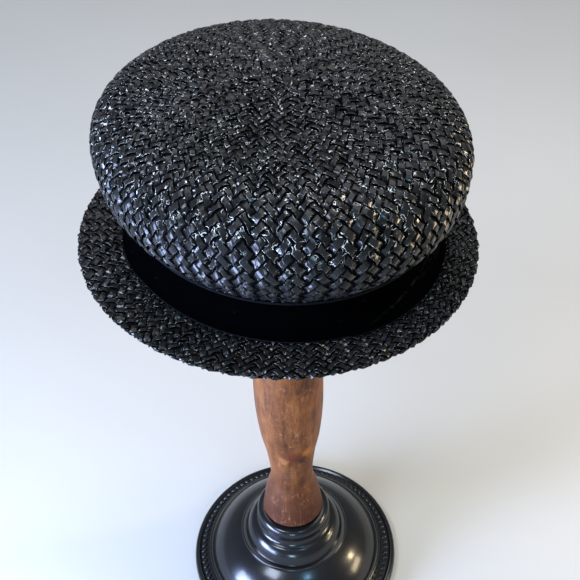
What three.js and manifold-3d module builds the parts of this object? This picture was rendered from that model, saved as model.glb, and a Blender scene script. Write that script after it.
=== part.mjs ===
// A woven straw bubble hat with a velvet band, on a turned hat stand.
// Millimetres, +Z up. The stand's axis is the Z axis and its foot rests on Z = 0.
// The hat's long axis lies along Y and its front faces -Y, where the brim is widest.
import * as THREE from 'three';
import { mergeVertices } from 'three/addons/utils/BufferGeometryUtils.js';
import Module from 'manifold-3d';

// Clearance between pieces that touch on the real thing
const GAP = 0.3;

// Hat: heights are counted from the break, where the brim leaves the crown
const BREAK_HEIGHT = 357;
const STRAW_WALL = 2;
const CROWN_RISE = 103;
const BULGE_RADIUS = 103.5;
const BULGE_RISE = 61.5;
const SQUARENESS = 2.4;
const TUCK_RADIUS = 87.6;
const TUCK_RISE = 24;
const TUCK_TURN_DEG = 60;
const HEAD_RADIUS = 93.8;
const BRIM_RADIUS = 119.2;
const BRIM_DROP = 3.6;
const BRIM_FORWARD = 5.8;
const BRIM_SEAT = 3;
const HEM_THICKNESS = 3;
const HEM_WIDTH = 4;

// Ovals: how much longer than round the hat is along Y, and shorter along X
const HEAD_OVAL = 0.054;
const BRIM_OVAL = 0.03;

// Velvet ribbon: the rows of its face as shares of its height, and its folds, in degrees about Z:
// the crease's angle, how far it leans over the height, half its width, how far it stands out
// in millimetres, and the share of the height that it covers
const RIBBON_THICKNESS = 1.3;
const RIBBON_RISE = 23.4;
const RIBBON_ROWS = [0, 0.2, 0.45, 0.75, 1];
const RIBBON_FOLDS = [
  { angle: 98, lean: 21, halfWidth: 6, lift: 1.4, share: 1 },
  { angle: -23, lean: 0, halfWidth: 17, lift: 1.2, share: 0.35 },
];

// Stand base, from the underside to the post's socket: each row ends a stretch of the outline,
// which runs straight (bulge 0), swells out (up to 1) or is hollowed (down to -1)
const BASE_OUTLINE = [
  { radius: 82, height: 0, bulge: 0 },
  { radius: 84.8, height: 5, bulge: 1 },
  { radius: 81, height: 10.2, bulge: 1 },
  { radius: 79.6, height: 9.2, bulge: 0 },
  { radius: 73.2, height: 11.4, bulge: 0 },
  { radius: 72, height: 15, bulge: 0 },
  { radius: 69.4, height: 16.8, bulge: 1 },
  { radius: 68.2, height: 16.2, bulge: 0 },
  { radius: 43.5, height: 39.5, bulge: 0.35 },
  { radius: 41.5, height: 42, bulge: 1 },
  { radius: 39.4, height: 41.8, bulge: 0 },
  { radius: 37.6, height: 49.5, bulge: 0.4 },
  { radius: 33.5, height: 53, bulge: 1 },
  { radius: 27.6, height: 60.5, bulge: -0.8 },
  { radius: 29.1, height: 66, bulge: 0.6 },
  { radius: 25, height: 71, bulge: 1 },
];
const SOCKET_RADIUS = 20.6;
const SOCKET_MOUTH = BASE_OUTLINE[BASE_OUTLINE.length - 1].height;
const SOCKET_FLOOR = 63;
const CURVE_STEPS = 2;

// Slanted beads cast round the base, near its rim
const BEAD_COUNT = 96;
const BEAD_RADIUS = 76.4;
const BEAD_HALF_WIDTH = 2.8;
const BEAD_FOOT = 8.8;
const BEAD_TOP = 12.2;
const BEAD_RELIEF = 0.9;
const BEAD_SLANT = 0.7;

// Plain domed head that carries the crown
const DOME_RADIUS = 52;
const DOME_FOOT = 422;
const DOME_EDGE = 5;

// Turned post, through the rows of a smooth outline
const POST_OUTLINE = [
  { radius: 23.6, height: 74 },
  { radius: 20.4, height: 96 },
  { radius: 16.2, height: 116 },
  { radius: 18.1, height: 144 },
  { radius: 22.6, height: 174 },
  { radius: 24.5, height: 218 },
  { radius: 21, height: 284 },
  { radius: 15.6, height: 346 },
  { radius: 15, height: DOME_FOOT },
];
const POST_STEPS = 22;

// Facets round the axis
const HAT_SIDES = 64;
const RIBBON_SIDES = 84;
const BASE_SIDES = 40;
const POST_SIDES = 24;
const CROWN_TOP_STEPS = 8;
const CROWN_SIDE_STEPS = 4;
const DOME_STEPS = 6;

// Materials
const straw = new THREE.MeshStandardMaterial({ color: 0x2b2b2a, roughness: 0.5, metalness: 0 });
const velvet = new THREE.MeshStandardMaterial({ color: 0x07070b, roughness: 0.95, metalness: 0 });
const wood = new THREE.MeshStandardMaterial({ color: 0x8f5a3f, roughness: 0.45, metalness: 0 });
const bronzed = new THREE.MeshStandardMaterial({ color: 0x2c2e31, roughness: 0.25, metalness: 0.8 });

const point = (radius, height) => new THREE.Vector2(radius, height);
const lerp = THREE.MathUtils.lerp;
const rad = THREE.MathUtils.degToRad;

// A solid of revolution about Z, from an outline that starts and ends on the axis or closes on itself
function turned(outline, sides) {
  const geometry = new THREE.LatheGeometry(outline, sides);
  geometry.rotateX(Math.PI / 2);
  return geometry;
}

// Stretches a round geometry along Y, squeezes it along X and shifts it forward, by its radius
function ovalise(geometry, shapeAt) {
  const places = geometry.attributes.position;
  for (let i = 0; i < places.count; i += 1) {
    const x = places.getX(i);
    const y = places.getY(i);
    const { oval, forward } = shapeAt(Math.hypot(x, y));
    const factor = 1 - oval * Math.cos(2 * Math.atan2(y, x));
    places.setXY(i, x * factor, y * factor - forward);
  }
  return geometry;
}

// The oval of the crown's wall and of the ribbon round it
const wallShape = () => ({ oval: HEAD_OVAL, forward: 0 });

// The oval of the brim, rounder and further forward towards its edge
function brimShape(radius) {
  const share = THREE.MathUtils.clamp((radius - HEAD_RADIUS) / (BRIM_RADIUS - HEAD_RADIUS), 0, 1);
  return { oval: lerp(HEAD_OVAL, BRIM_OVAL, share), forward: BRIM_FORWARD * share };
}

// Moves an outline that runs from the axis outwards and down to its other side, by a wall's thickness
function inset(outline, thickness) {
  return outline.map((here, i) => {
    const before = outline[Math.max(i - 1, 0)];
    const after = outline[Math.min(i + 1, outline.length - 1)];
    const along = after.clone().sub(before).normalize();
    const moved = point(here.x + along.y * thickness, here.y - along.x * thickness);
    return here.x === 0 ? point(0, here.y - thickness) : moved;
  });
}

// The crown's outer outline: a squared dome, the bulge turned in under itself, and the flared foot
function crownOutline() {
  const outline = [point(0, BREAK_HEIGHT + CROWN_RISE)];
  const power = 2 / SQUARENESS;
  for (let i = 1; i <= CROWN_TOP_STEPS; i += 1) {
    const turn = (Math.PI / 2) * (1 - i / CROWN_TOP_STEPS);
    const rise = BULGE_RISE + (CROWN_RISE - BULGE_RISE) * Math.max(Math.sin(turn), 0) ** power;
    outline.push(point(BULGE_RADIUS * Math.cos(turn) ** power, BREAK_HEIGHT + rise));
  }
  const lastTurn = rad(TUCK_TURN_DEG);
  const depth = (BULGE_RADIUS - TUCK_RADIUS) / (1 - Math.cos(lastTurn));
  const drop = (BULGE_RISE - TUCK_RISE) / Math.sin(lastTurn);
  for (let i = 1; i <= CROWN_SIDE_STEPS; i += 1) {
    const turn = (lastTurn * i) / CROWN_SIDE_STEPS;
    const radius = BULGE_RADIUS - depth * (1 - Math.cos(turn));
    outline.push(point(radius, BREAK_HEIGHT + BULGE_RISE - drop * Math.sin(turn)));
  }
  outline.push(point(HEAD_RADIUS, BREAK_HEIGHT + GAP));
  return outline;
}

function makeCrown() {
  const outer = crownOutline();
  const inner = inset(outer, STRAW_WALL);
  const foot = inner[inner.length - 1];
  inner[inner.length - 1] = point(foot.x, BREAK_HEIGHT + GAP);
  return ovalise(turned([...outer, ...inner.reverse()].reverse(), HAT_SIDES), wallShape);
}

// The brim: a flat seat under the crown, a short slope and a turned hem
function makeBrim() {
  const inside = HEAD_RADIUS - STRAW_WALL;
  const seat = HEAD_RADIUS + BRIM_SEAT;
  const hemStart = BRIM_RADIUS - HEM_WIDTH;
  const slope = BRIM_DROP / (BRIM_RADIUS - seat);
  const top = (radius) => BREAK_HEIGHT - Math.max(radius - seat, 0) * slope;
  const hem = (HEM_THICKNESS - STRAW_WALL) / 2;
  const middle = (seat + hemStart) / 2;
  const outline = [
    point(inside, top(inside)),
    point(seat, top(seat)),
    point(middle, top(middle) - hem / 2),
    point(hemStart, top(hemStart)),
    point(BRIM_RADIUS - hem, top(hemStart)),
    point(BRIM_RADIUS, top(BRIM_RADIUS) - hem),
    point(BRIM_RADIUS - hem / 2, top(BRIM_RADIUS) - HEM_THICKNESS),
    point(BRIM_RADIUS - HEM_WIDTH / 2, top(BRIM_RADIUS) - HEM_THICKNESS),
    point(hemStart, top(hemStart) - STRAW_WALL),
    point(seat, top(seat) - STRAW_WALL),
    point(inside, top(inside) - STRAW_WALL),
    point(inside, top(inside)),
  ];
  return ovalise(turned(outline.reverse(), HAT_SIDES), brimShape);
}

// How far the folds lift the ribbon's face at an angle and a share of its height
function foldLift(angleDeg, share) {
  return RIBBON_FOLDS.reduce((lift, fold) => {
    const crease = fold.angle + fold.lean * (share - 0.5);
    const away = Math.abs(THREE.MathUtils.euclideanModulo(angleDeg - crease + 180, 360) - 180);
    const ridge = Math.max(0, 1 - away / fold.halfWidth);
    return share <= fold.share ? Math.max(lift, fold.lift * ridge) : lift;
  }, 0);
}

// The ribbon follows the crown's flared foot and ends just above the brim
function makeBand() {
  const footRise = 2 * GAP;
  const wallAt = (rise) => lerp(HEAD_RADIUS, TUCK_RADIUS, rise / TUCK_RISE) + GAP;
  const rises = RIBBON_ROWS.map((share) => lerp(footRise, RIBBON_RISE, share));
  const face = rises.map((rise) => point(wallAt(rise) + RIBBON_THICKNESS, BREAK_HEIGHT + rise));
  const back = [RIBBON_RISE, footRise].map((rise) => point(wallAt(rise), BREAK_HEIGHT + rise));
  const geometry = turned([...face, ...back, face[0]], RIBBON_SIDES);
  const places = geometry.attributes.position;
  for (let i = 0; i < places.count; i += 1) {
    const x = places.getX(i);
    const y = places.getY(i);
    const rise = places.getZ(i) - BREAK_HEIGHT;
    const radius = Math.hypot(x, y);
    const isFace = radius > wallAt(rise) + RIBBON_THICKNESS / 2;
    const share = (rise - footRise) / (RIBBON_RISE - footRise);
    const lift = isFace ? foldLift(THREE.MathUtils.radToDeg(Math.atan2(y, x)), share) : 0;
    const factor = (radius + lift) / radius;
    places.setXY(i, x * factor, y * factor);
  }
  return ovalise(geometry, wallShape);
}

// Joins the outline's rows by straight, swelling or hollow stretches
function stepped(rows) {
  const path = new THREE.Path();
  path.moveTo(0, rows[0].height);
  let last = { radius: 0, height: rows[0].height };
  rows.forEach((row) => {
    const wide = last.radius > row.radius ? last : row;
    const narrow = wide === last ? row : last;
    const middle = point((last.radius + row.radius) / 2, (last.height + row.height) / 2);
    const corner = row.bulge > 0 ? point(wide.radius, narrow.height) : point(narrow.radius, wide.height);
    const pull = middle.lerp(corner, Math.abs(row.bulge));
    if (row.bulge === 0) {
      path.lineTo(row.radius, row.height);
    } else {
      path.quadraticCurveTo(pull.x, pull.y, row.radius, row.height);
    }
    last = row;
  });
  return path.getPoints(CURVE_STEPS);
}

// A ring of slanted beads, high and low in turn
function makeBeads() {
  const outline = [
    point(BEAD_RADIUS + BEAD_HALF_WIDTH, BEAD_FOOT),
    point(BEAD_RADIUS, BEAD_TOP),
    point(BEAD_RADIUS - BEAD_HALF_WIDTH, BEAD_FOOT),
    point(BEAD_RADIUS + BEAD_HALF_WIDTH, BEAD_FOOT),
  ];
  const geometry = turned(outline, 2 * BEAD_COUNT);
  const places = geometry.attributes.position;
  for (let i = 0; i < places.count; i += 1) {
    const angle = Math.atan2(places.getY(i), places.getX(i));
    const radius = Math.hypot(places.getX(i), places.getY(i));
    const twist = (BEAD_SLANT * (radius - BEAD_RADIUS)) / BEAD_RADIUS;
    const isTop = places.getZ(i) > (BEAD_FOOT + BEAD_TOP) / 2;
    const relief = isTop ? BEAD_RELIEF * Math.cos(BEAD_COUNT * angle) : 0;
    places.setX(i, radius * Math.cos(angle + twist));
    places.setY(i, radius * Math.sin(angle + twist));
    places.setZ(i, places.getZ(i) + relief);
  }
  return geometry;
}

// Boolean solids, with vertices closer than this made one
const MERGE_DISTANCE = 1e-3;
const wasm = await Module();
wasm.setup();

function toSolid(geometry) {
  const bare = geometry.clone();
  bare.deleteAttribute('normal');
  bare.deleteAttribute('uv');
  const merged = mergeVertices(bare, MERGE_DISTANCE);
  const vertProperties = new Float32Array(merged.attributes.position.array);
  const triVerts = new Uint32Array(merged.index.array);
  const mesh = new wasm.Mesh({ numProp: 3, vertProperties, triVerts });
  return new wasm.Manifold(mesh);
}

function toGeometry(solid) {
  const mesh = solid.getMesh();
  const geometry = new THREE.BufferGeometry();
  geometry.setAttribute('position', new THREE.BufferAttribute(mesh.vertProperties, 3));
  geometry.setIndex(new THREE.BufferAttribute(mesh.triVerts, 1));
  return geometry;
}

// The stepped base, with the post's socket in its top collar
function makeBase() {
  const outline = stepped(BASE_OUTLINE);
  outline.push(point(SOCKET_RADIUS, SOCKET_MOUTH));
  outline.push(point(SOCKET_RADIUS, SOCKET_FLOOR));
  outline.push(point(0, SOCKET_FLOOR));
  const body = toSolid(turned(outline, BASE_SIDES));
  return toGeometry(body.add(toSolid(makeBeads())));
}

// The post stands in the socket on a short spigot
function makePost() {
  const curve = new THREE.SplineCurve(POST_OUTLINE.map((row) => point(row.radius, row.height)));
  const spigot = SOCKET_RADIUS - GAP;
  const outline = [
    point(0, SOCKET_FLOOR + GAP),
    point(spigot, SOCKET_FLOOR + GAP),
    point(spigot, SOCKET_MOUTH + GAP),
    ...curve.getPoints(POST_STEPS),
  ];
  outline.push(point(0, DOME_FOOT));
  return turned(outline, POST_SIDES);
}

// The hidden head: a flat foot on the post, a rounded edge and a dome up to the crown's inner top
function makeHead() {
  const foot = DOME_FOOT + GAP;
  const top = BREAK_HEIGHT + CROWN_RISE - STRAW_WALL - GAP;
  const outline = [point(0, foot), point(DOME_RADIUS - DOME_EDGE, foot)];
  for (let i = 0; i < DOME_STEPS; i += 1) {
    const turn = ((Math.PI / 2) * i) / DOME_STEPS;
    const height = foot + DOME_EDGE + (top - foot - DOME_EDGE) * Math.sin(turn);
    outline.push(point(DOME_RADIUS * Math.cos(turn), height));
  }
  outline.push(point(0, top));
  return turned(outline, POST_SIDES);
}

function piece(name, geometry, material) {
  const mesh = new THREE.Mesh(geometry, material);
  mesh.name = name;
  return mesh;
}

const hat = new THREE.Group();
hat.add(piece('crown', makeCrown(), straw));
hat.add(piece('brim', makeBrim(), straw));
hat.add(piece('band', makeBand(), velvet));

const stand = new THREE.Group();
stand.add(piece('stand_base', makeBase(), bronzed));
stand.add(piece('stand_post', makePost(), wood));
stand.add(piece('stand_head', makeHead(), wood));

const group = new THREE.Group();
group.add(hat, stand);

export default group;
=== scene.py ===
"""A woven straw bubble hat with a velvet band, on a turned hat stand."""
import math

import bpy
import numpy as np
from mathutils import Matrix, Vector


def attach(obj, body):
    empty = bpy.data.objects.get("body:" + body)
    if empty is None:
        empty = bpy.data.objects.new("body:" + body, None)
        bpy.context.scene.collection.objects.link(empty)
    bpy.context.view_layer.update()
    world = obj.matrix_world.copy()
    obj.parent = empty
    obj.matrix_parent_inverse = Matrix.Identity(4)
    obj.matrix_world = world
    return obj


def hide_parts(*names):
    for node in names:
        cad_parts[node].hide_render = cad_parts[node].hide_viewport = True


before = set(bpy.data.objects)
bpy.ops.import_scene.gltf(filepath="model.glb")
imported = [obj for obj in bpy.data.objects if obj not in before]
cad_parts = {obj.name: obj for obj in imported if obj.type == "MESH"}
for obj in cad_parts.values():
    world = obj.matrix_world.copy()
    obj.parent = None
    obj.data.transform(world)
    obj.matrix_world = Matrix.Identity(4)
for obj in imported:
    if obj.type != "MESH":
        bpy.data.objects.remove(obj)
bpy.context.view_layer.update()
scene = bpy.context.scene

# Hat sizes in metres, as in the part's source; heights are counted from the break of the brim
MM = 0.001
BREAK_HEIGHT = 357 * MM
CROWN_RISE = 103 * MM
BULGE_RADIUS = 103.5 * MM
BULGE_RISE = 61.5 * MM
SQUARENESS = 2.4
TUCK_RADIUS = 87.6 * MM
TUCK_RISE = 24 * MM
TUCK_TURN = math.radians(60)
HEAD_RADIUS = 93.8 * MM
BRIM_RADIUS = 119.2 * MM
BRIM_DROP = 3.6 * MM
BRIM_FORWARD = 5.8 * MM
BRIM_SEAT = 3 * MM
BRIM_TURN_UP = 8 * MM
HEM_RADIUS = 1.2 * MM
HEM_WIDTH = 7 * MM
HEAD_OVAL = 0.054
BRIM_OVAL = 0.03
GAP = 0.3 * MM

# Weave: the strands of each family in a ring of the crown's top, from the ring's inner radius on
TOP_RINGS = [
    (0.5 * MM, 6),
    (6 * MM, 12),
    (12 * MM, 20),
    (20 * MM, 32),
    (30 * MM, 46),
    (40 * MM, 62),
    (54 * MM, 86),
]
SIDE_STRANDS = 108
SIDE_START = 68 * MM
SIDE_SLANT = 0.68
SLANT_POWER = 1.2
HIDDEN_RISE = 15 * MM
BRIM_STRANDS = 132
BOTH_HANDS = (1, -1)
ROW_STEP = 0.002

# Strands: each lies over two of the other family, then under two; a stretch that lies over is a float
REPEAT = 4
CREST = 0.5
FLOAT_START = 2.5
STRAND_SIDES = 6
STEPS_PER_CROSSING = 3
FEWEST_STEPS = 4
STRAND_WIDTH_SHARE = 1.1
STRAND_NARROWING = 0.2
SLIMMEST = 0.6
STRAND_THICKNESS = 0.25 * MM
STRAND_FLATNESS = 0.25
WEAVE_LIFT = 0.5 * MM
WEAVE_SINK = 0.6 * MM
LEAST_LIFT = 0.75
MORE_LIFT = 0.6
SHOW_GAIN = 1.6
SHOW_LOSS = 0.4
FLOAT_ROLL = 0.22 * MM
FLOAT_LEAN = 0.28 * MM
FLOAT_PITCH = 0.14 * MM
WANDER_SHARE = 0.34
WANDER_SCALES = (3.7, 1.3, 9)
CRISP_ANGLE = math.radians(55)

# Each ring has a seed of its own, each kind of chance an offset from it, and each float a mark, with
# steps from strand to strand, from float to float and from hand to hand
RING_SEED = 11.0
TONE_SEED = 1.7
ROLL_SEED = 2.1
PITCH_SEED = 3.3
LIFT_SEED = 4.7
SLIM_SEED = 5.3
MARK_STEPS = (7.3, 1.9, 3.1)
SLIM_STEP = 0.31

# Velvet ribbon; angles are in degrees round the hat, and shares are parts of the ribbon's width
RIBBON_RISE = 23.4 * MM
RIBBON_FOOT = 0.6 * MM
RIBBON_THICKNESS = 1.3 * MM
RIBBON_SIDES = 720
RIBBON_ROWS = 40
RIBBON_BACK_ROWS = 10
SELVEDGE_THICKNESS = 0.75 * MM
SELVEDGE_SHARE = 0.045
PILE_START = 0.8 * SELVEDGE_SHARE
PILE_FULL = 1.3 * SELVEDGE_SHARE
LAP_ANGLE = 89
LAP_LEAN = 42
LAP_LIFT = 1.0 * MM
LAP_STEP = (-0.25, 0.5)
LAP_FALL = (2, 55)
PLEAT_DEPTH = 0.3 * MM
PLEAT_SHARE = 0.13
PLEAT_RISE = (0.5, 0.7)
PLEAT_START = (0, 8)
PLEAT_END = (15, 55)
PLEAT_SHARPNESS = 4
CREASE_ANGLE = 0.1
CREASE_WIDTH = 0.45
CREASE_RISE = (0.15, 0.4)
TUCKED_ANGLE = -23
TUCKED_HALF_WIDTH = 17
TUCKED_FULL_WIDTH = 0.3 * TUCKED_HALF_WIDTH
TUCKED_LIFT = 1.2 * MM
TUCKED_SHARE = 0.35

# Stand sizes in millimetres, as in the part's source, but with rounder collars on the base
BASE_OUTLINE = [
    # radius, height, bulge
    (82, 0, 0),
    (84.8, 5, 1),
    (81, 10.2, 1),
    (79.6, 9.2, 0),
    (73.2, 11.4, 0),
    (72, 15, 0),
    (69.4, 16.8, 1),
    (68.2, 16.2, 0),
    (43.5, 39.5, 0.35),
    (41.5, 42, 1),
    (39.4, 41.8, 0),
    (38.5, 43.4, 0),
    (31.8, 53.8, 0.45),
    (27.8, 60.3, -0.8),
    (29.3, 65, 0.3),
    (24.8, 71, 0.8),
]
SOCKET_RADIUS = 20.6
SOCKET_FLOOR = 63
SOCKET_MOUTH = 71
POST_OUTLINE = [
    # radius, height
    (23.6, 74),
    (20.4, 96),
    (16.2, 116),
    (18.1, 144),
    (22.6, 174),
    (24.5, 218),
    (21, 284),
    (15.6, 346),
    (15, 422),
]
DOME_RADIUS = 52
DOME_FOOT = 422
DOME_EDGE = 5
DOME_TOP = 457.7
DOME_STEPS = 24
AXIS_RADIUS = 0.5
STAND_GAP = GAP / MM
BASE_SIDES = 160
WOOD_SIDES = 96
SHARP_ANGLE = math.radians(38)

# Beads round the base, in metres
BEAD_COUNT = 96
BEAD_RADIUS = 76.4 * MM
BEAD_HEIGHT = 10.6 * MM
BEAD_SIZE = (2.9 * MM, 1.5 * MM, 1.4 * MM)
BEAD_SLANT = 0.6

# Camera, as the photograph was taken: the hat's break height is its target
CAMERA_AZIMUTH = math.radians(140)
CAMERA_PITCH = math.radians(43)
CAMERA_ROLL = math.radians(2)
TARGET = Vector((0, 0, BREAK_HEIGHT))
TARGET_RIGHT = -3.47 * MM
TARGET_DOWN = -37.4 * MM
TARGET_DEPTH = 541.5 * MM
IMAGE_SIDE = 580
FOCAL_PIXELS = 914
SENSOR_WIDTH = 36
CLIP_START = 0.01

# Lights
WORLD_COLOUR = (0.86, 0.93, 1.0, 1)
WORLD_STRENGTH = 0.36
LIGHTS = [
    # name, metres right of, nearer than and above the hat, size, watts, colour
    ("window", (-1.68, 0.7, 0.2), (0.6, 0.7), 66, (0.48, 0.62, 1.0)),
    ("low window", (-0.45, 0.32, -0.22), (0.3, 0.18), 7.5, (0.46, 0.6, 1.0)),
    ("small window", (-0.16, 1.5, 0.0), (0.2, 0.24), 6, (0.5, 0.78, 1.0)),
    ("left pane", (-0.6, 0.56, 0.95), (0.34, 0.3), 9.5, (0.72, 0.84, 1.0)),
    ("right pane", (0.3, 0.72, 0.95), (0.14, 0.14), 2.2, (0.3, 0.68, 1.0)),
    ("ceiling", (0.1, -0.35, 1.6), (1.5, 1.5), 23, (0.95, 0.98, 1.0)),
    ("lamp", (1.25, 0.0, 0.35), (0.13, 0.2), 7, (1.0, 0.8, 0.5)),
    ("low lamp", (0.8, 0.1, -0.14), (0.22, 0.16), 2.4, (1.0, 0.8, 0.5)),
]

# Straw finish; in all the finishes a pair is a range, or a least value and what is added to it
STRAW_DARK = (0.0035, 0.0035, 0.0035, 1)
STRAW_PALE = (0.02, 0.0198, 0.0197, 1)
# Painted shade for the gaps and the diving ends of the floats
STRAW_GAP_SHADE = (0.002, 0.002, 0.0022, 1)
# Painted glints, drawn as pale threads
STRAW_GLINT = (0.9, 0.88, 0.84, 1)
STRAW_SPECULAR = 0.17
STRAW_RELIEF = 0.85 * MM
STRAW_ROUGHNESS = (0.08, 0.14)
ARCH_RELIEF = (0.5, 0.5)
LEAN_RELIEF = (0.3, 0.5)
FIBRE_RELIEF = 0.035
ROUNDING = 0.4
# Painted shade: how much of each float is left unshaded, and shade along the strips' edges
UNSHADED_RANGE = (-0.1, 0.6)
MORE_UNSHADED = 0.25
SHADED_EDGE = (0.7, 1.0)
EDGE_SHADE = 0.75
SHADE_WEIGHT = 0.5
# Painted glints: their lines, spread and places, and the painted shade that dims them low down
GLINT_LINE_WIDTH = (0.006, 0.028)
BREAK_RANGE = (0.47, 0.55)
GLINT_SPREAD_SCALE = 130.0
GLINT_SPREAD_RANGE = (0.27, 0.45)
GLINT_SHADE = (0.6, 0.4)
GLINT_SHADE_WEIGHT = 0.8
TOP_SHARE = 0.1
GLINT_EDGE = (0.3, 0.8)
GLINT_END = (0.3, 1.0)
GLINT_RANGE = (-0.6, 0.0)
BULGE_FADE = (BULGE_RISE, BULGE_RISE + 28 * MM)
GLINT_SHADE_FADE = (BULGE_RISE - 20 * MM, BULGE_RISE + 14 * MM)
TUCK_FADE = (TUCK_RISE / 2, TUCK_RISE)
TOP_FADE = (CROWN_RISE - 14 * MM, CROWN_RISE - 4 * MM)
STRAND_NOISES = {
    # scale across the strand, scale along it, shift by its tone, detail
    "fibre": (9, 0.8, 61, 3.0),
    "patch": (0.7, 0.9, 83, 1.0),
    "curl": (1.1, 1.7, 37, 1.0),
    "breaks": (1.3, 1.6, 53, 0.0),
}

# Velvet finish
PILE_DARK = (0.0002, 0.00022, 0.00026, 1)
PILE_PALE = (0.0006, 0.0007, 0.0009, 1)
RIB_DARK = (0.004, 0.0042, 0.005, 1)
RIB_PALE = (0.011, 0.012, 0.015, 1)
RIB_COUNT = 520
# Painted highlight on the lap's crease and the pleats' crests
CREASE_HIGHLIGHT_COLOUR = (0.012, 0.0125, 0.015, 1)
LINT_COLOUR = (0.02, 0.02, 0.022, 1)
LINT_RANGE = (0.86, 0.89)
CREASE_RANGE = (0.35, 0.6)
SELVEDGE_FADE = (0.7 * SELVEDGE_SHARE, SELVEDGE_SHARE)
VELVET_NOISES = {
    # scale, detail
    "pile": (1400.0, 3.0),
    "nap": (60.0, 2.0),
    "highlight_breakup": (260.0, 2.0),
    "lint": (900.0, 0.0),
}

# Wood finish; heights are in metres above the floor
WOOD_STOPS = [
    (0.28, (0.036, 0.009, 0.0026)),
    (0.42, (0.096, 0.0285, 0.0062)),
    (0.56, (0.164, 0.053, 0.0124)),
    (0.75, (0.275, 0.104, 0.0275)),
]
WOOD_MARKS = [
    # centre and size in millimetres, colour
    ((12.5, 15.9, 158), 11, (0.075, 0.013, 0.006)),
    ((16.3, 10.1, 151), 6, (0.25, 0.105, 0.03)),
    ((1.9, 20.4, 160), 7, (0.32, 0.115, 0.012)),
    ((5.1, 18.4, 150.4), 7.5, (0.026, 0.007, 0.004)),
    ((-17, -14, 250), 9, (0.1, 0.03, 0.015)),
    ((21, -11, 196), 6, (0.07, 0.02, 0.01)),
    ((-19, 3, 110), 6, (0.3, 0.11, 0.02)),
]
MARK_CORE = 0.35
MARK_WEIGHT = 0.85
MARK_STIR = 0.012
GRAIN_STRETCH = 0.12
GRAIN_SWAY = 0.016
# Foot: partly the wood's own redder tone, partly painted shade
FOOT_TONE_AND_SHADE = (0.044, 0.0105, 0.0042, 1)
FOOT_FADE = (0.08, 0.14)
FOOT_WEIGHT = 0.85
FIBRE_COLOUR = (0.034, 0.0095, 0.0045, 1)
FIBRE_RANGE = (0.58, 0.72)
FIBRE_WEIGHT = 0.6
FIBRE_HEIGHT = 0.6
PALE_COLOUR = (0.25, 0.12, 0.06, 1)
PALE_RANGE = (0.6, 0.78)
PALE_WEIGHT = 0.3
TOOL_COLOUR = (0.32, 0.155, 0.085, 1)
TOOL_PITCH = 2.4 * MM
TOOL_WAVER = 4
TOOL_RANGE = (0.75, 1.0)
TOOL_WEIGHT = 0.45
TOOL_HEIGHT = 0.08
WAIST_START = (0.12, 0.13)
WAIST_END = (0.138, 0.148)
SCRATCH_COLOUR = (0.38, 0.2, 0.1, 1)
SCRATCH_WIDTH = (0.004, 0.016)
SCRATCH_RANGE = (0.4, 0.6)
SCRATCH_WEIGHT = 0.25
WOOD_ROUGHNESS = (0.36, 0.22)
PLACE_NOISES = {
    # scale, detail, roughness
    "sway": (24.0, 2.0, 0.5),
    "cloud": (36.0, 4.0, 0.62),
    "stir": (90.0, 2.0, 0.5),
    "crack": (70.0, 3.0, 0.5),
}
GRAIN_NOISES = {
    # scale, detail, roughness
    "grain": (210.0, 5.0, 0.62),
    "fibre": (1100.0, 2.0, 0.5),
    "pale": (620.0, 1.0, 0.5),
}
GRAIN_WEIGHT = 0.62
CLOUD_WEIGHT = 0.78
DEPTH_SHIFT = -0.2

# Metal and floor finishes
METAL_DARK = (0.012, 0.0125, 0.0145, 1)
METAL_PALE = (0.026, 0.0265, 0.028, 1)
METAL_NOISES = {
    # scale, detail
    "cloud": (35.0, 3.0),
    "fine": (900.0, 2.0),
}
METAL_ROUGHNESS = (0.17, 0.1)
FINE_ROUGHNESS = 0.04
FLOOR_DARK = (0.47, 0.45, 0.42, 1)
FLOOR_PALE = (0.52, 0.5, 0.465, 1)
FLOOR_HALF = 4.0
FLOOR_NOISE = (3.0, 4.0)


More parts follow.
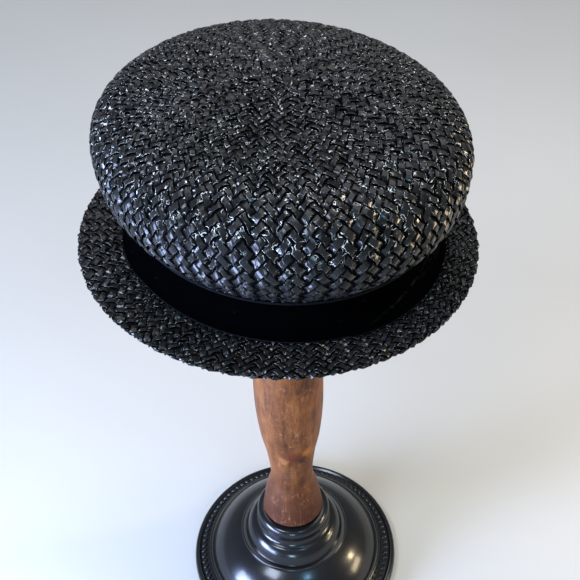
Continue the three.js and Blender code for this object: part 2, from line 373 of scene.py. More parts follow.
class Wire:
    """A socket of a node tree. Arithmetic on wires adds Math nodes."""

    def __init__(self, tree, socket=None):
        self.tree = tree
        self.socket = socket

    def node(self, kind, settings=None, sockets=None, out=0):
        """Adds a node of a type, with its settings, then the values or wires of its sockets."""
        made = self.tree.nodes.new(kind)
        for name, value in (settings or {}).items():
            if name == "stops":
                set_stops(made.color_ramp, value)
            else:
                setattr(made, name, value)
        for name, value in (sockets or {}).items():
            for single in value if isinstance(value, list) else [value]:
                if isinstance(single, Wire):
                    self.tree.links.new(single.socket, made.inputs[name])
                else:
                    made.inputs[name].default_value = single
        return Wire(self.tree, made.outputs[out] if made.outputs else None)

    def out(self, name):
        """Another output of the same node."""
        return Wire(self.tree, self.socket.node.outputs[name])

    def math(self, operation, *values):
        return self.node("ShaderNodeMath", {"operation": operation}, dict(enumerate(values)))

    def __add__(self, other):
        return self.math("ADD", self, other)

    def __radd__(self, other):
        return self.math("ADD", other, self)

    def __sub__(self, other):
        return self.math("SUBTRACT", self, other)

    def __rsub__(self, other):
        return self.math("SUBTRACT", other, self)

    def __mul__(self, other):
        return self.math("MULTIPLY", self, other)

    def __rmul__(self, other):
        return self.math("MULTIPLY", other, self)

    def __truediv__(self, other):
        return self.math("DIVIDE", self, other)

    def __rtruediv__(self, other):
        return self.math("DIVIDE", other, self)

    def clamp(self, low=0.0, high=1.0):
        return self.node("ShaderNodeClamp", {}, {"Value": self, "Min": low, "Max": high})

    def rise(self, low, high):
        """0 below low, 1 above high and smooth between."""
        settings = {"interpolation_type": "SMOOTHSTEP"}
        sockets = {"Value": self, "From Min": low, "From Max": high}
        return self.node("ShaderNodeMapRange", settings, sockets)

    def mix(self, low, high):
        """A colour between two, with this wire as the factor."""
        return self.node("ShaderNodeMix", {"data_type": "RGBA"}, {0: self, 6: low, 7: high}, out=2)

    def vector(self, x, y, z):
        return self.node("ShaderNodeCombineXYZ", {}, {"X": x, "Y": y, "Z": z})

    def vector_math(self, operation, *values, out=0):
        return self.node("ShaderNodeVectorMath", {"operation": operation}, dict(enumerate(values)), out)

    def split(self, vector):
        """The X output of a vector, with Y and Z as its other outputs."""
        return self.node("ShaderNodeSeparateXYZ", {}, {0: vector})

    def noise(self, vector, scale, detail=2.0, roughness=0.5):
        sockets = {"Vector": vector, "Scale": scale, "Detail": detail, "Roughness": roughness}
        return self.node("ShaderNodeTexNoise", {}, sockets)

    def chance(self, x, y):
        """A fixed random number from 0 to 1 for each pair of values."""
        settings = {"noise_dimensions": "2D"}
        return self.node("ShaderNodeTexWhiteNoise", settings, {"Vector": self.vector(x, y, 0)})


def set_stops(ramp, stops):
    """Gives a colour ramp its (place, colour) stops."""
    while len(ramp.elements) < len(stops):
        ramp.elements.new(1.0)
    for element, (place, colour) in zip(ramp.elements, stops):
        element.position = place
        element.color = (*colour, 1)


def link(piece):
    scene.collection.objects.link(piece)
    return piece


# Outlines of the hat

def crown_line(count=1500):
    """Radius and height from the middle of the top, over the bulge and down to the brim."""
    power = 2 / SQUARENESS
    turn = np.linspace(math.pi / 2, 0, count)
    over = BULGE_RADIUS * np.cos(turn).clip(0) ** power
    up = BULGE_RISE + (CROWN_RISE - BULGE_RISE) * np.sin(turn).clip(0) ** power
    turn = np.linspace(0, TUCK_TURN, count)[1:]
    depth = (BULGE_RADIUS - TUCK_RADIUS) / (1 - math.cos(TUCK_TURN))
    drop = (BULGE_RISE - TUCK_RISE) / math.sin(TUCK_TURN)
    under = BULGE_RADIUS - depth * (1 - np.cos(turn))
    down = BULGE_RISE - drop * np.sin(turn)
    share = np.linspace(0, 1, count)[1:]
    foot = TUCK_RADIUS + (HEAD_RADIUS - TUCK_RADIUS) * share
    low = TUCK_RISE * (1 - share)
    radius = np.concatenate([over, under, foot])
    height = BREAK_HEIGHT + np.concatenate([up, down, low])
    return radius, height


def brim_line(count=300):
    """Radius and height from behind the band, out over the brim, round its roll and back below."""
    seat = HEAD_RADIUS + BRIM_SEAT
    slope = BRIM_DROP / (BRIM_RADIUS - seat)
    roll = BRIM_RADIUS - HEM_RADIUS
    share = np.linspace(1, 0, count)[:-1]
    wall = HEAD_RADIUS + (TUCK_RADIUS - HEAD_RADIUS) * share * BRIM_TURN_UP / TUCK_RISE
    climb = BREAK_HEIGHT + share * BRIM_TURN_UP
    top = np.linspace(HEAD_RADIUS, roll, count)
    fall = BREAK_HEIGHT - np.maximum(top - seat, 0) * slope
    turn = np.linspace(math.pi / 2, -math.pi / 2, count)[1:]
    round_edge = roll + HEM_RADIUS * np.cos(turn)
    round_fall = fall[-1] - HEM_RADIUS + HEM_RADIUS * np.sin(turn)
    back = np.linspace(roll, roll - HEM_WIDTH, count)[1:]
    back_fall = round_fall[-1] + (roll - back) * slope
    radius = np.concatenate([wall, top, round_edge, back])
    height = np.concatenate([climb, fall, round_fall, back_fall])
    return radius, height


def turn_along(radius, height, slant):
    """How far a strand has turned about the axis along an outline, for a slant at each point."""
    length = np.hypot(np.diff(radius), np.diff(height))
    middle = (radius[1:] + radius[:-1]) / 2
    lean = (slant[1:] + slant[:-1]) / 2
    return np.concatenate([[0], np.cumsum(lean * length / middle)])


# Woven strands

STRAND_INPUTS = [
    ("Rows", "NodeSocketGeometry"),
    ("Strands", "NodeSocketInt"),
    ("Steps", "NodeSocketInt"),
    ("First Turn", "NodeSocketFloat"),
    ("Last Turn", "NodeSocketFloat"),
    ("Hand", "NodeSocketFloat"),
    ("Width Share", "NodeSocketFloat"),
    ("Thickness", "NodeSocketFloat"),
    ("Lift", "NodeSocketFloat"),
    ("Edge Oval", "NodeSocketFloat"),
    ("Forward", "NodeSocketFloat"),
    ("Seed", "NodeSocketFloat"),
]


def node_group(name, inputs):
    """An empty Geometry Nodes group with named inputs and one geometry output."""
    tree = bpy.data.node_groups.new(name, "GeometryNodeTree")
    for label, kind in inputs:
        tree.interface.new_socket(label, in_out="INPUT", socket_type=kind)
    tree.interface.new_socket("Geometry", in_out="OUTPUT", socket_type="NodeSocketGeometry")
    return tree


def store(wire, geometry, name, value):
    """Keeps a number at each point under a name."""
    settings = {"data_type": "FLOAT", "domain": "POINT"}
    sockets = {"Geometry": geometry, "Name": name, "Value": value}
    return wire.node("GeometryNodeStoreNamedAttribute", settings, sockets)


def sample_row(wire, rows, index):
    """The place of one point of the outline."""
    settings = {"data_type": "FLOAT_VECTOR", "clamp": True}
    sockets = {"Geometry": rows, "Value": wire.node("GeometryNodeInputPosition"), "Index": index}
    return wire.node("GeometryNodeSampleIndex", settings, sockets)


def straight_strands(wire, strands, steps):
    """A straight tube of unit size for each strand, with the strand's number kept at its points."""
    points = wire.node("GeometryNodePoints", {}, {"Count": strands})
    numbered = store(wire, points, "strand", wire.node("GeometryNodeInputIndex"))
    sizes = {"Vertices": STRAND_SIDES, "Side Segments": steps, "Radius": 1.0, "Depth": 1.0}
    tube = wire.node("GeometryNodeMeshCylinder", {"fill_type": "NGON"}, sizes)
    placed = wire.node("GeometryNodeInstanceOnPoints", {}, {"Points": numbered, "Instance": tube})
    return wire.node("GeometryNodeRealizeInstances", {}, {"Geometry": placed})


def lying_over(arch):
    """How far a strand lies over the other family, above 0, or under it, for its place in its wave."""
    return SHOW_GAIN * arch - SHOW_LOSS


def strand_family():
    """One family of strands of a two-over, two-under weave, wound over the rows of an outline."""
    tree = node_group("strand family", STRAND_INPUTS)
    wire = Wire(tree)
    given = wire.node("NodeGroupInput")
    strands, hand, seed = (given.out(name) for name in ("Strands", "Hand", "Seed"))
    first, last, lift = (given.out(name) for name in ("First Turn", "Last Turn", "Lift"))
    straight = straight_strands(wire, strands, given.out("Steps"))

    # Place along the strand, counted in turns about the axis and in crossings
    strand = wire.node("GeometryNodeInputNamedAttribute", {"data_type": "FLOAT"}, {"Name": "strand"})
    place = wire.split(wire.node("GeometryNodeInputPosition"))
    side, skin, along = place.out("X"), place.out("Y"), place.out("Z") + 0.5
    flat_side = wire.math("POWER", wire.math("ABSOLUTE", side), STRAND_FLATNESS)
    across = wire.math("SIGN", side) * flat_side
    spacing = 2 * math.pi / strands
    ragged = (wire.chance(strand, seed) - 0.5) * spacing
    turn = first + ragged + along * (last - first)
    crossing = 2 * strand + hand * 2 * turn / spacing

    # Float that the place belongs to
    beat = (crossing + FLOAT_START - hand) / REPEAT
    passed = wire.math("FLOOR", beat)
    inside = (beat - passed - 0.5) * REPEAT
    by_strand, by_float, by_hand = MARK_STEPS
    mark = strand * by_strand + passed * by_float + hand * by_hand
    roll = (wire.chance(mark, seed + ROLL_SEED) - 0.5) * 2 * FLOAT_ROLL - hand * FLOAT_LEAN
    pitch = (wire.chance(mark, seed + PITCH_SEED) - 0.5) * 2 * FLOAT_PITCH
    slim = wire.chance(strand + passed * SLIM_STEP, seed + SLIM_SEED)
    arch = hand * wire.math("COSINE", (crossing - CREST) * (2 * math.pi / REPEAT))
    showing = lying_over(arch).clamp(-1.0, 1.0)
    over = showing * lift * (LEAST_LIFT + MORE_LIFT * wire.chance(mark, seed + LIFT_SEED))
    ends = wire.math("MINIMUM", along, 1 - along) * (last - first) * 2 / spacing
    tuck = (1 - ends.clamp()) * 2 * lift
    proud = over + skin * given.out("Thickness") + across * roll + inside * pitch - tuck - WEAVE_SINK

    # Angle about the axis and place on the outline
    width = given.out("Width Share") * (1 - STRAND_NARROWING * showing)
    width = width * (1 - (1 - SLIMMEST) * slim * slim * showing.clamp())
    half = across * width * spacing / 4
    by_strand, by_turn, by_hand = WANDER_SCALES
    local = wire.vector(strand * by_strand + seed, turn / spacing * by_turn, hand * by_hand)
    wander = (wire.noise(local, 1.0) - 0.5) * spacing * WANDER_SHARE
    angle = strand * spacing + hand * turn + half + wander
    row = wire.math("MAXIMUM", (turn - hand * half) / ROW_STEP, 0.0)
    below = wire.math("FLOOR", row)
    here, there = (sample_row(wire, given.out("Rows"), below + step) for step in (0, 1))
    between = {0: row - below, 4: here, 5: there}
    middle = wire.split(wire.node("ShaderNodeMix", {"data_type": "VECTOR"}, between, out=1))
    run = wire.vector_math("SUBTRACT", there, here)
    ahead = wire.split(wire.vector_math("NORMALIZE", run))
    radius = middle.out("X") - ahead.out("Z") * proud
    height = middle.out("Z") + ahead.out("X") * proud
    outward = ((radius - HEAD_RADIUS) / (BRIM_RADIUS - HEAD_RADIUS)).clamp()
    oval = HEAD_OVAL + (given.out("Edge Oval") - HEAD_OVAL) * outward
    wide = radius * (1 - oval * wire.math("COSINE", angle * 2))
    x = wide * wire.math("COSINE", angle)
    y = wide * wire.math("SINE", angle) - given.out("Forward") * outward

    # Numbers kept for the material
    marked = store(wire, straight, "across", side)
    marked = store(wire, marked, "crossing", crossing)
    marked = store(wire, marked, "tone", wire.chance(mark, seed + TONE_SEED))
    marked = store(wire, marked, "arch", arch)
    marked = store(wire, marked, "lean", hand * side)
    wound = {"Geometry": marked, "Position": wire.vector(x, y, height)}
    shaped = wire.node("GeometryNodeSetPosition", {}, wound)
    bend = {"A": wire.node("GeometryNodeInputMeshEdgeAngle"), "B": CRISP_ANGLE}
    gentle = wire.node("FunctionNodeCompare", {"operation": "LESS_THAN"}, bend)
    shading = {"Geometry": shaped, "Shade Smooth": gentle}
    smooth = wire.node("GeometryNodeSetShadeSmooth", {"domain": "EDGE"}, shading)
    wire.node("NodeGroupOutput", {}, {"Geometry": smooth})
    return tree


def woven_piece(name, line, slant, rings, family, material, edge_oval=HEAD_OVAL, forward=0.0):
    """A piece of weave over an outline; each ring is its strands, first and last turn and hands."""
    radius, height = line
    turn = turn_along(radius, height, slant)
    rows = np.arange(0, turn[-1] + ROW_STEP, ROW_STEP)
    points = np.column_stack([np.interp(rows, turn, radius), 0 * rows, np.interp(rows, turn, height)])
    mesh = bpy.data.meshes.new(name)
    mesh.from_pydata(points.tolist(), [], [])
    source = link(bpy.data.objects.new(name + "_rows", mesh))
    tree = node_group(name, [("Rows", "NodeSocketGeometry"), ("Straw", "NodeSocketMaterial")])
    wire = Wire(tree)
    given = wire.node("NodeGroupInput")
    parts = []
    for ring, (strands, first, last, hands) in enumerate(rings):
        crossings = (last - first) * strands / math.pi
        for hand in hands:
            sizes = {
                "Rows": given.out("Rows"),
                "Strands": strands,
                "Steps": max(round(crossings * STEPS_PER_CROSSING), FEWEST_STEPS),
                "First Turn": first,
                "Last Turn": last,
                "Hand": float(hand),
                "Width Share": STRAND_WIDTH_SHARE,
                "Thickness": STRAND_THICKNESS,
                "Lift": WEAVE_LIFT,
                "Edge Oval": edge_oval,
                "Forward": forward,
                "Seed": RING_SEED * ring + hand,
            }
            parts.append(wire.node("GeometryNodeGroup", {"node_tree": family}, sizes))
    joined = wire.node("GeometryNodeJoinGeometry", {}, {"Geometry": parts})
    end_in_meshes(wire, joined, given.out("Straw"))
    return grown(name, source, tree, {"Straw": material})


def end_in_meshes(wire, geometry, material):
    """Ends a Geometry Nodes tree in real meshes of one material."""
    real = wire.node("GeometryNodeRealizeInstances", {}, {"Geometry": geometry})
    painted = wire.node("GeometryNodeSetMaterial", {}, {"Geometry": real, "Material": material})
    wire.node("NodeGroupOutput", {}, {"Geometry": painted})


def grown(name, source, tree, values):
    """Runs a Geometry Nodes tree on a source object and keeps the result as a plain piece."""
    modifier = source.modifiers.new(name, "NODES")
    modifier.node_group = tree
    for item in tree.interface.items_tree:
        if item.name in values:
            modifier[item.identifier] = values[item.name]
    depsgraph = bpy.context.evaluated_depsgraph_get()
    evaluated = source.evaluated_get(depsgraph)
    mesh = bpy.data.meshes.new_from_object(evaluated, depsgraph=depsgraph)
    source.modifiers.remove(modifier)
    bpy.data.objects.remove(source)
    mesh.name = name
    return link(bpy.data.objects.new(name, mesh))


def make_crown(family, material):
    """The crown's weave: two pieces for the side, one for the rings of the top and the hidden foot."""
    radius, height = crown_line()
    bulge, top = BREAK_HEIGHT + BULGE_RISE, BREAK_HEIGHT + CROWN_RISE
    slant = 1 - (1 - SIDE_SLANT) * np.interp(height, [bulge, top], [1, 0]) ** SLANT_POWER
    keep = radius > TOP_RINGS[0][0]
    radius, height, slant = radius[keep], height[keep], slant[keep]
    turn = turn_along(radius, height, slant)
    widest = int(np.argmax(radius))
    starts = [start for start, _ in TOP_RINGS] + [SIDE_START]
    limits = [float(np.interp(start, radius[:widest], turn[:widest])) for start in starts]
    rings = []
    for (_, strands), first, last in zip(TOP_RINGS, limits[:-1], limits[1:]):
        lap = math.pi / strands
        rings.append((strands, max(first - lap, 0), last + lap, BOTH_HANDS))
    lap = math.pi / SIDE_STRANDS
    hidden = float(turn[height > BREAK_HEIGHT + HIDDEN_RISE][-1])
    lowest = float(turn[height > BREAK_HEIGHT + BRIM_TURN_UP / 2][-1])
    foot = (SIDE_STRANDS, hidden - lap, lowest, BOTH_HANDS)
    side = (SIDE_STRANDS, limits[-1] - lap, hidden + lap)
    pieces = [
        ("crown_strands_right", [(*side, (1,))]),
        ("crown_strands_left", [(*side, (-1,))]),
        ("crown_top_and_foot_strands", rings + [foot]),
    ]
    line = (radius, height)
    return [woven_piece(name, line, slant, part, family, material) for name, part in pieces]


def make_brim(family, material):
    """The brim's weave, in one ring."""
    radius, height = brim_line()
    slant = np.ones_like(radius)
    last = float(turn_along(radius, height, slant)[-1])
    rings = [(BRIM_STRANDS, 0.0, last, BOTH_HANDS)]
    line, shape = (radius, height), (BRIM_OVAL, BRIM_FORWARD)
    return woven_piece("brim_strands", line, slant, rings, family, material, *shape)


# Meshes made from arrays

def grid_mesh(name, points, joined, material):
    """A mesh over rows of points, each a loop round the axis; rows that aren't joined get end caps."""
    rows, columns = points.shape[:2]
    stretches = np.arange(rows if joined else rows - 1)
    row, column = np.meshgrid(stretches, np.arange(columns), indexing="ij")
    up, beside = (row + 1) % rows, (column + 1) % columns
    corners = [(row, column), (row, beside), (up, beside), (up, column)]
    faces = np.stack([r * columns + c for r, c in corners], -1).reshape(-1, 4).tolist()
    if not joined:
        loop = list(range(columns))
        faces += [loop[::-1], [(rows - 1) * columns + i for i in loop]]
    mesh = bpy.data.meshes.new(name)
    mesh.from_pydata(points.reshape(-1, 3).tolist(), [], faces)
    mesh.polygons.foreach_set("use_smooth", [True] * len(mesh.polygons))
    mesh.materials.append(material)
    return link(bpy.data.objects.new(name, mesh))


def turned(name, outline, sides, material):
    """A closed piece turned about Z, from an outline in millimetres that starts and ends at the axis."""
    outline = np.array(outline) * MM
    angle = np.linspace(0, 2 * math.pi, sides, endpoint=False)
    radius, height = outline[:, :1], outline[:, 1:]
    points = np.stack([radius * np.cos(angle), radius * np.sin(angle), height + 0 * angle], -1)
    piece = grid_mesh(name, points, False, material)
    piece.data.set_sharp_from_angle(angle=SHARP_ANGLE)
    return piece


def stepped(rows, steps=10):
    """Joins outline rows by straight, swelling or hollow stretches."""
    points = [(AXIS_RADIUS, rows[0][1])]
    last = np.array([0.0, rows[0][1]])
    for radius, height, bulge in rows:
        end = np.array([radius, height], float)
        wide, narrow = (last, end) if last[0] > radius else (end, last)
        middle = (last + end) / 2
        corner = np.array([wide[0], narrow[1]] if bulge > 0 else [narrow[0], wide[1]])
        pull = middle + (corner - middle) * abs(bulge)
        for t in np.linspace(0, 1, 2 if bulge == 0 else steps)[1:]:
            points.append(tuple((1 - t) ** 2 * last + 2 * t * (1 - t) * pull + t * t * end))
        last = end
    return points


def smooth_line(rows, steps=12):
    """A smooth curve through outline rows."""
    rows = [rows[0], *rows, rows[-1]]
    points = []
    for a, b, c, d in zip(rows, rows[1:], rows[2:], rows[3:]):
        a, b, c, d = (np.array(p, float) for p in (a, b, c, d))
        for t in np.linspace(0, 1, steps, endpoint=False):
            place = b + (c - a) * t / 2 + (a - 2.5 * b + 2 * c - d / 2) * t * t
            points.append(tuple(place + (1.5 * (b - c) + (d - a) / 2) * t ** 3))
    return points + [tuple(rows[-1])]


def make_base(material):
    """The stepped base, with the post's socket in its top collar."""
    socket = [(SOCKET_RADIUS, SOCKET_MOUTH), (SOCKET_RADIUS, SOCKET_FLOOR), (AXIS_RADIUS, SOCKET_FLOOR)]
    return turned("base_turning", stepped(BASE_OUTLINE) + socket, BASE_SIDES, material)


def make_post(material):
    """The turned post, with a spigot in the base's socket."""
    spigot = SOCKET_RADIUS - STAND_GAP
    foot = SOCKET_FLOOR + STAND_GAP
    outline = [(AXIS_RADIUS, foot), (spigot, foot), (spigot, SOCKET_MOUTH + STAND_GAP)]
    outline += smooth_line(POST_OUTLINE) + [(AXIS_RADIUS, DOME_FOOT)]
    return turned("post_turning", outline, WOOD_SIDES, material)


def make_head(material):
    """The plain dome on the post that carries the hat."""
    foot = DOME_FOOT + STAND_GAP
    turn = np.linspace(0, math.pi / 2, DOME_STEPS)[:-1]
    rise = foot + DOME_EDGE + (DOME_TOP - foot - DOME_EDGE) * np.sin(turn)
    outline = [(AXIS_RADIUS, foot), (DOME_RADIUS - DOME_EDGE, foot)]
    outline += list(zip(DOME_RADIUS * np.cos(turn), rise)) + [(AXIS_RADIUS, DOME_TOP)]
    return turned("head_turning", outline, WOOD_SIDES, material)


BEAD_INPUTS = [
    ("Geometry", "NodeSocketGeometry"),
    ("Count", "NodeSocketInt"),
    ("Ring Radius", "NodeSocketFloat"),
    ("Bead Size", "NodeSocketVector"),
    ("Height", "NodeSocketFloat"),
    ("Slant", "NodeSocketFloat"),
    ("Metal", "NodeSocketMaterial"),
]


def make_beads(material):
    """Slanted beads cast round the base, as a ring of instances."""
    tree = node_group("bead ring", BEAD_INPUTS)
    wire = Wire(tree)
    given = wire.node("NodeGroupInput")
    count = given.out("Count")
    sizes = {"Vertices": count, "Radius": given.out("Ring Radius")}
    ring = wire.node("GeometryNodeMeshCircle", {}, sizes)
    lift = wire.vector(0.0, 0.0, given.out("Height"))
    ring = wire.node("GeometryNodeSetPosition", {}, {"Geometry": ring, "Offset": lift})
    bead = wire.node("GeometryNodeMeshUVSphere", {}, {"Segments": 8, "Rings": 6, "Radius": 1.0})
    bead = wire.node("GeometryNodeSetShadeSmooth", {}, {"Geometry": bead})
    turn = wire.node("GeometryNodeInputIndex") * 2 * math.pi / count + given.out("Slant")
    sockets = {
        "Points": ring,
        "Instance": bead,
        "Rotation": wire.vector(0.0, 0.0, turn),
        "Scale": given.out("Bead Size"),
    }
    beads = wire.node("GeometryNodeInstanceOnPoints", {}, sockets)
    end_in_meshes(wire, beads, given.out("Metal"))
    source = link(bpy.data.objects.new("bead_ring", bpy.data.meshes.new("bead_ring")))
    values = {
        "Count": BEAD_COUNT,
        "Ring Radius": BEAD_RADIUS,
        "Bead Size": BEAD_SIZE,
        "Height": BEAD_HEIGHT,
        "Slant": BEAD_SLANT,
        "Metal": material,
    }
    return grown("base_beads", source, tree, values)


def smoothstep(value, low, high):
    share = np.clip((value - low) / (high - low), 0, 1)
    return share * share * (3 - 2 * share)


def degrees_past(angle, start):
    """Degrees from a start, between -180 and 180."""
    return (angle - start + 180) % 360 - 180


def make_band(material):
    """The velvet ribbon: pile between two selvedges, one end lapped over the other."""
    face, back = np.linspace(0, 1, RIBBON_ROWS), np.linspace(1, 0, RIBBON_BACK_ROWS)
    share = np.concatenate([face, back])[:, None]
    is_face = np.concatenate([np.ones_like(face), np.zeros_like(back)])[:, None]
    angle = np.linspace(0, 360, RIBBON_SIDES, endpoint=False)[None, :]
    rise = RIBBON_FOOT + (RIBBON_RISE - RIBBON_FOOT) * share
    wall = HEAD_RADIUS + (TUCK_RADIUS - HEAD_RADIUS) * rise / TUCK_RISE + GAP
    pile = smoothstep(np.minimum(share, 1 - share), PILE_START, PILE_FULL)
    thick = SELVEDGE_THICKNESS + (RIBBON_THICKNESS - SELVEDGE_THICKNESS) * pile
    past = degrees_past(angle, LAP_ANGLE + LAP_LEAN * (share - 0.5))
    lap = LAP_LIFT * smoothstep(past, *LAP_STEP) * (1 - smoothstep(past, *LAP_FALL))
    apart = abs(degrees_past(angle, TUCKED_ANGLE))
    tucked = TUCKED_LIFT * smoothstep(TUCKED_SHARE - share, 0, TUCKED_SHARE)
    tucked = tucked * (1 - smoothstep(apart, TUCKED_FULL_WIDTH, TUCKED_HALF_WIDTH))
    ripple = np.cos(2 * math.pi * share / PLEAT_SHARE)
    pleated = smoothstep(past, *PLEAT_START) * (1 - smoothstep(past, *PLEAT_END))
    pleated = smoothstep(share, *PLEAT_RISE) * pleated
    pleats = PLEAT_DEPTH * ripple * pleated
    radius = wall + is_face * (thick + lap + tucked + pleats)
    turn = np.radians(angle)
    wide = radius * (1 - HEAD_OVAL * np.cos(2 * turn))
    height = BREAK_HEIGHT + rise + 0 * turn
    points = np.stack([wide * np.cos(turn), wide * np.sin(turn), height], -1)
    piece = grid_mesh("velvet_band", points, True, material)
    # Painted highlight along the lap's crease and on the pleats' crests, kept for the velvet
    crease = np.exp(-((past - CREASE_ANGLE) / CREASE_WIDTH) ** 2) * smoothstep(share, *CREASE_RISE)
    fold_highlight = ripple.clip(0) ** PLEAT_SHARPNESS * pleated
    keep_number(piece, "rise", np.broadcast_to(share, height.shape))
    keep_number(piece, "around", np.broadcast_to(angle / 360, height.shape))
    keep_number(piece, "crease", np.maximum(crease, fold_highlight))
    return piece


def keep_number(piece, name, values):
    """Keeps a number at each point of a piece under a name."""
    attribute = piece.data.attributes.new(name, "FLOAT", "POINT")
    attribute.data.foreach_set("value", np.asarray(values, np.float32).ravel())


# Materials

def new_material(name):
    """An empty material, with a wire to build on."""
    material = bpy.data.materials.new(name)
    material.use_nodes = True
    material.node_tree.nodes.clear()
    return material, Wire(material.node_tree)


def surface(wire, sockets, bump=None, strength=1.0, distance=MM, unshaded=None):
    """Ends a material in a Principled surface, with an optional bump, and dull black painted shade where
    unshaded is low.
    """
    if bump is not None:
        sizes = {"Height": bump, "Strength": strength, "Distance": distance}
        sockets = {**sockets, "Normal": wire.node("ShaderNodeBump", {}, sizes)}
    shader = wire.node("ShaderNodeBsdfPrincipled", {}, sockets)
    if unshaded is not None:
        gap_shade = wire.node("ShaderNodeBsdfDiffuse", {}, {"Color": STRAW_GAP_SHADE})
        shader = wire.node("ShaderNodeMixShader", {}, {0: unshaded, 1: gap_shade, 2: shader})
    wire.node("ShaderNodeOutputMaterial", {}, {"Surface": shader})


def attribute(wire, name):
    return wire.node("ShaderNodeAttribute", {"attribute_name": name}, {}, out="Fac")


def object_place(wire):
    return wire.node("ShaderNodeTexCoord", {}, {}, out="Object")


def added(pair, share):
    """A least value, with a share of a second one added."""
    return pair[0] + pair[1] * share


def contour(wire, noise, thin, thick):
    """Thin crooked lines where a noise passes its middle value."""
    return 1 - wire.math("ABSOLUTE", noise - 0.5).rise(thin, thick)


def make_straw():
    """Glossy black floats, painted shade in gaps and at edges, painted glints as pale threads near edges.
    """
    material, wire = new_material("black straw")
    names = ("across", "crossing", "tone", "arch", "lean")
    across, crossing, tone, arch, lean = (attribute(wire, name) for name in names)
    noises = []
    for wide, long, shift, detail in STRAND_NOISES.values():
        local = wire.vector(across * wide, crossing * long, tone * shift)
        noises.append(wire.noise(local, 1.0, detail))
    fibre, patch, curl, breaks = noises
    edge = wire.math("ABSOLUTE", across)
    showing = lying_over(arch)
    place = object_place(wire)
    height = wire.split(place).out("Z") - BREAK_HEIGHT
    bulging = height.rise(*TUCK_FADE) * (1 - height.rise(*BULGE_FADE))
    # Painted shade: dull black in the gaps, at diving ends and along strip edges, less of it off the
    # bulge
    unshaded = (showing + MORE_UNSHADED * (1 - bulging)).rise(*UNSHADED_RANGE)
    unshaded = unshaded * (1 - EDGE_SHADE * edge.rise(*SHADED_EDGE))
    shade = fibre * SHADE_WEIGHT + patch * SHADE_WEIGHT + (tone - 0.5) * SHADE_WEIGHT
    colour = shade.clamp().mix(STRAW_DARK, STRAW_PALE)

    # Painted glints: broken pale lines near float edges and ends, dimmed by painted shade low down
    glint_line = contour(wire, curl, *GLINT_LINE_WIDTH) * breaks.rise(*BREAK_RANGE)
    glint_dimming = (1 - height.rise(*GLINT_SHADE_FADE)) * added(GLINT_SHADE, height.rise(*TUCK_FADE))
    glint_spread = wire.noise(place, GLINT_SPREAD_SCALE, 1.0).rise(*GLINT_SPREAD_RANGE) * (1 - GLINT_SHADE_WEIGHT * glint_dimming)
    glint_spread = glint_spread * (1 - TOP_SHARE * height.rise(*TOP_FADE))
    glint_place = wire.math("MAXIMUM", edge.rise(*GLINT_EDGE), 1 - showing.rise(*GLINT_END))
    glint = glint_line * glint_spread * glint_place
    colour = glint.mix(colour, STRAW_GLINT)
    unshaded = wire.math("MAXIMUM", unshaded, glint * showing.rise(*GLINT_RANGE))
    sockets = {
        "Base Color": colour,
        "Roughness": added(STRAW_ROUGHNESS, patch),
        "Specular IOR Level": STRAW_SPECULAR,
    }
    relief = arch * added(ARCH_RELIEF, bulging) - lean * added(LEAN_RELIEF, bulging)
    relief = relief + fibre * FIBRE_RELIEF - edge * edge * ROUNDING
    surface(wire, sockets, relief, distance=STRAW_RELIEF, unshaded=unshaded)
    return material


def make_velvet():
    """Deep black pile with ribbed selvedges, a painted highlight on the crease and pleats, and a little
    lint.
    """
    material, wire = new_material("black velvet")
    rise, around = attribute(wire, "rise"), attribute(wire, "around")
    place = object_place(wire)
    pile, nap, highlight_breakup, lint = (wire.noise(place, *noise) for noise in VELVET_NOISES.values())
    colour = nap.mix(PILE_DARK, PILE_PALE)
    edge = wire.math("MINIMUM", rise, 1 - rise)
    selvedge = 1 - edge.rise(*SELVEDGE_FADE)
    ribs = wire.math("SINE", around * 2 * math.pi * RIB_COUNT) * 0.5 + 0.5
    colour = selvedge.mix(colour, ribs.mix(RIB_DARK, RIB_PALE))
    # Painted highlight on the crease and pleat crests, broken up by a noise
    crease = attribute(wire, "crease") * highlight_breakup.rise(*CREASE_RANGE)
    colour = crease.mix(colour, CREASE_HIGHLIGHT_COLOUR)
    colour = lint.rise(*LINT_RANGE).mix(colour, LINT_COLOUR)
    sockets = {
        "Base Color": colour,
        "Roughness": 0.95 - 0.25 * selvedge,
        "Specular IOR Level": 0.0,
        "Sheen Weight": 0.0014,
        "Sheen Roughness": 0.4,
        "Sheen Tint": (0.75, 0.82, 1.0, 1),
    }
    surface(wire, sockets, pile + selvedge * ribs, strength=0.6, distance=0.25 * MM)
    return material


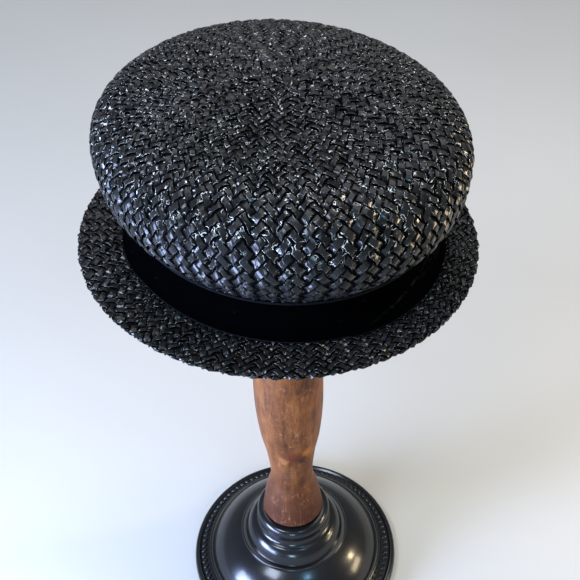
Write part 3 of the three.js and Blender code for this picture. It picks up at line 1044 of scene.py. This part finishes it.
def make_wood():
    """Worn red-brown wood: lengthwise grain, stains and chips, tool marks at the waist and scratches."""
    material, wire = new_material("turned wood")
    place = object_place(wire)
    spot = wire.split(place)
    height = spot.out("Z")
    sway, cloud, stir, crack = (wire.noise(place, *noise) for noise in PLACE_NOISES.values())
    sway = (sway - 0.5) * GRAIN_SWAY
    lengthwise = wire.vector(spot.out("X") + sway, spot.out("Y") + sway, height * GRAIN_STRETCH)
    grain, fibre, pale = (wire.noise(lengthwise, *noise) for noise in GRAIN_NOISES.values())
    depth = grain * GRAIN_WEIGHT + cloud * CLOUD_WEIGHT + DEPTH_SHIFT
    colour = wire.node("ShaderNodeValToRGB", {"stops": WOOD_STOPS}, {"Fac": depth})
    # Darker and redder towards the foot: partly the wood's own tone, partly painted shade
    colour = ((1 - height.rise(*FOOT_FADE)) * FOOT_WEIGHT).mix(colour, FOOT_TONE_AND_SHADE)
    stirred = wire.vector_math("MULTIPLY_ADD", stir.out("Color"), (MARK_STIR,) * 3, place)
    for centre, size, tint in WOOD_MARKS:
        centre = tuple(c * MM + MARK_STIR / 2 for c in centre)
        away = wire.vector_math("DISTANCE", stirred, centre, out="Value")
        mark = 1 - away.rise(MARK_CORE * size * MM, size * MM)
        colour = (mark * MARK_WEIGHT).mix(colour, (*tint, 1))
    colour = (fibre.rise(*FIBRE_RANGE) * FIBRE_WEIGHT).mix(colour, FIBRE_COLOUR)
    colour = (pale.rise(*PALE_RANGE) * PALE_WEIGHT).mix(colour, PALE_COLOUR)
    tool_marks = wire.math("SINE", height * 2 * math.pi / TOOL_PITCH + cloud * TOOL_WAVER)
    waist = height.rise(*WAIST_START) * (1 - height.rise(*WAIST_END))
    colour = (tool_marks.rise(*TOOL_RANGE) * waist * TOOL_WEIGHT).mix(colour, TOOL_COLOUR)
    scratch = contour(wire, crack, *SCRATCH_WIDTH) * pale.rise(*SCRATCH_RANGE)
    colour = (scratch * SCRATCH_WEIGHT).mix(colour, SCRATCH_COLOUR)
    sockets = {
        "Base Color": colour,
        "Roughness": added(WOOD_ROUGHNESS, cloud),
        "Specular IOR Level": 0.18,
        "Coat Weight": 0.04,
        "Coat Roughness": 0.3,
    }
    relief = grain + fibre * FIBRE_HEIGHT + tool_marks * TOOL_HEIGHT
    surface(wire, sockets, relief, strength=0.3, distance=0.3 * MM)
    return material


def make_metal():
    """Smooth dark metal with a thin coat."""
    material, wire = new_material("black bronze")
    place = object_place(wire)
    cloud, fine = (wire.noise(place, *noise) for noise in METAL_NOISES.values())
    sockets = {
        "Base Color": cloud.mix(METAL_DARK, METAL_PALE),
        "Metallic": 0.75,
        "Roughness": added(METAL_ROUGHNESS, cloud) + FINE_ROUGHNESS * fine,
        "Coat Weight": 0.25,
        "Coat Roughness": 0.12,
    }
    surface(wire, sockets, fine, strength=0.06, distance=0.1 * MM)
    return material


def make_floor():
    """A plain pale floor to stand on."""
    material, wire = new_material("pale floor")
    colour = wire.noise(object_place(wire), *FLOOR_NOISE).mix(FLOOR_DARK, FLOOR_PALE)
    surface(wire, {"Base Color": colour, "Roughness": 0.75})
    mesh = bpy.data.meshes.new("floor")
    corners = [(x * FLOOR_HALF, y * FLOOR_HALF, 0) for x, y in ((-1, -1), (1, -1), (1, 1), (-1, 1))]
    mesh.from_pydata(corners, [], [(0, 1, 2, 3)])
    mesh.materials.append(material)
    floor = link(bpy.data.objects.new("floor", mesh))


# Camera and lights

def camera_axes():
    """The camera's right, down and ahead directions before its roll."""
    a, e = CAMERA_AZIMUTH, CAMERA_PITCH
    right = Vector((math.cos(a), math.sin(a), 0))
    ahead = Vector((-math.sin(a) * math.cos(e), math.cos(a) * math.cos(e), -math.sin(e)))
    return right, ahead.cross(right), ahead


def make_camera():
    """The camera, with the photograph's view of the hat."""
    right, down, ahead = camera_axes()
    place = TARGET - TARGET_RIGHT * right - TARGET_DOWN * down - TARGET_DEPTH * ahead
    x = math.cos(CAMERA_ROLL) * right + math.sin(CAMERA_ROLL) * down
    y = math.sin(CAMERA_ROLL) * right - math.cos(CAMERA_ROLL) * down
    data = bpy.data.cameras.new("camera")
    data.sensor_width = SENSOR_WIDTH
    data.lens = FOCAL_PIXELS / IMAGE_SIDE * SENSOR_WIDTH
    data.clip_start = CLIP_START
    camera = link(bpy.data.objects.new("camera", data))
    turn = Matrix((x, y, -ahead)).transposed().to_4x4()
    camera.matrix_world = Matrix.Translation(place) @ turn
    scene.camera = camera


def make_light(name, place, size, power, colour):
    """An area light, placed as the camera sees the hat and aimed at it."""
    right, near, up = place
    a = CAMERA_AZIMUTH
    beside = Vector((math.cos(a), math.sin(a), 0))
    toward = Vector((math.sin(a), -math.cos(a), 0))
    data = bpy.data.lights.new(name, "AREA")
    data.shape = "RECTANGLE"
    data.size, data.size_y = size
    data.energy = power
    data.color = colour
    light = link(bpy.data.objects.new(name, data))
    light.location = TARGET + right * beside + near * toward + up * Vector((0, 0, 1))
    light.rotation_euler = (TARGET - light.location).to_track_quat("-Z", "Y").to_euler()


def make_world():
    """A soft even light from all sides."""
    world = bpy.data.worlds.new("studio")
    world.use_nodes = True
    background = world.node_tree.nodes["Background"]
    background.inputs["Color"].default_value = WORLD_COLOUR
    background.inputs["Strength"].default_value = WORLD_STRENGTH
    scene.world = world


def dress(piece, slot, *nodes):
    """Every piece rides on the one body and stands for its CAD nodes. The slot is not used."""
    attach(piece, "root")
    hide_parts(*nodes)


make_camera()
make_world()
for light_row in LIGHTS:
    make_light(*light_row)
make_floor()
straw = make_straw()
velvet = make_velvet()
wood = make_wood()
metal = make_metal()
strands = strand_family()
for piece in make_crown(strands, straw):
    dress(piece, "straw", "crown")
dress(make_brim(strands, straw), "straw", "brim")
band = make_band(velvet)
dress(band, "velvet", "band")
dress(make_base(metal), "base_metal", "stand_base")
dress(make_beads(metal), "base_metal", "stand_base")
dress(make_post(wood), "turned_wood", "stand_post")
dress(make_head(wood), "turned_wood", "stand_head")

scene.view_settings.view_transform = "Standard"
